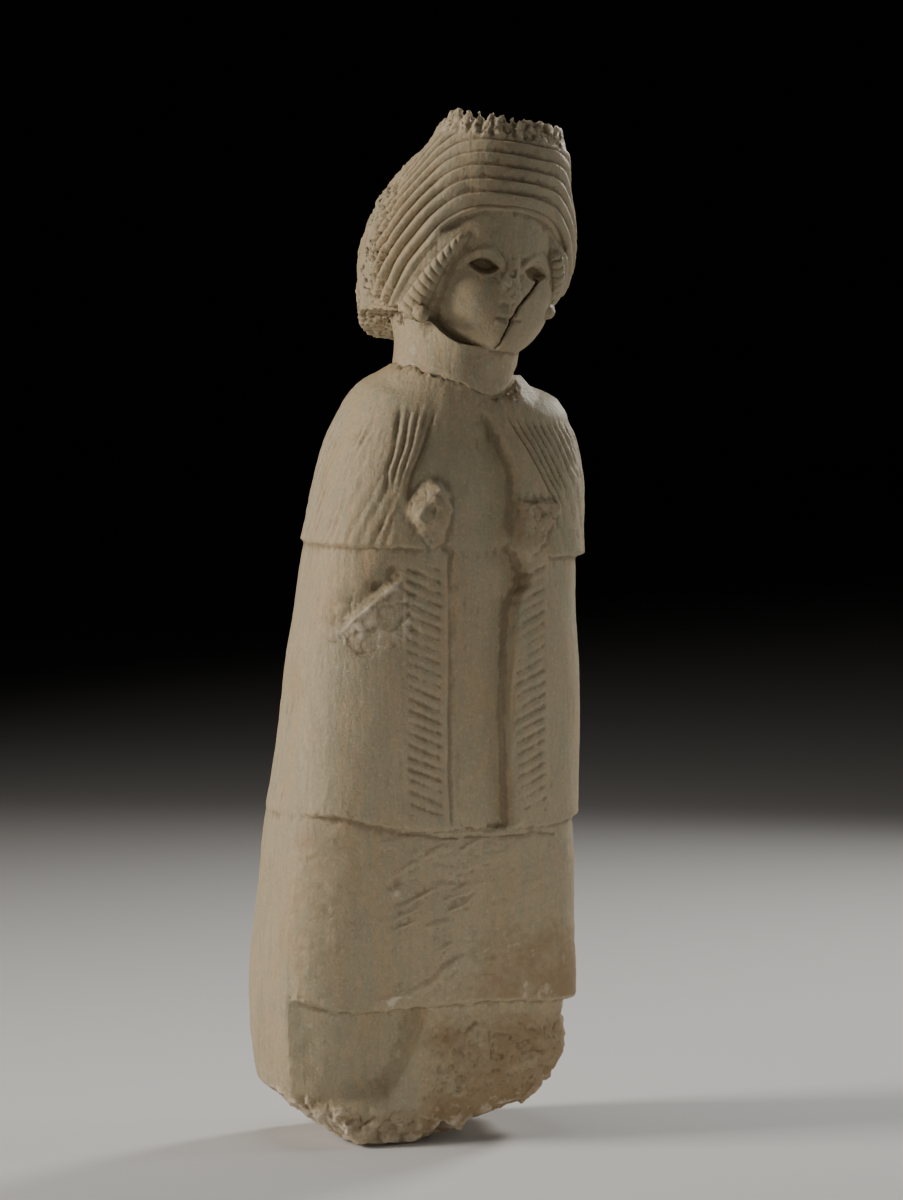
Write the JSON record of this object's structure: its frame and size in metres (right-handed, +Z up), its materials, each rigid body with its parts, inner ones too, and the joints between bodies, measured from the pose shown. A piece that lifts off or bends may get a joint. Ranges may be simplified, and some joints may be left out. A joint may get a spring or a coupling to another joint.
{
  "type": "praying woman statue",
  "caption": "Ancient votive statue of a standing robed woman in a fringed coat and cape, with ridged hair and broken forearms, resting on its own rough stone foot.",
  "frame": {"origin": "on the flat patch of the underside that the statue stands on, below the middle of the neck", "axes": "+Z up along the statue's height, the figure faces -Y, and its own right hand side is -X"},
  "size_m": [0.1954, 0.1277, 0.5981],
  "materials": {
    "body_stone": "worn carved alabaster, dull satin with brown earth crust",
    "head_stone": "worn carved alabaster, paler and smoother at the neck"
  },
  "bodies": {
    "root": {"robed_body": "body_stone", "head_and_neck": "head_stone"}
  },
  "joints": []
}
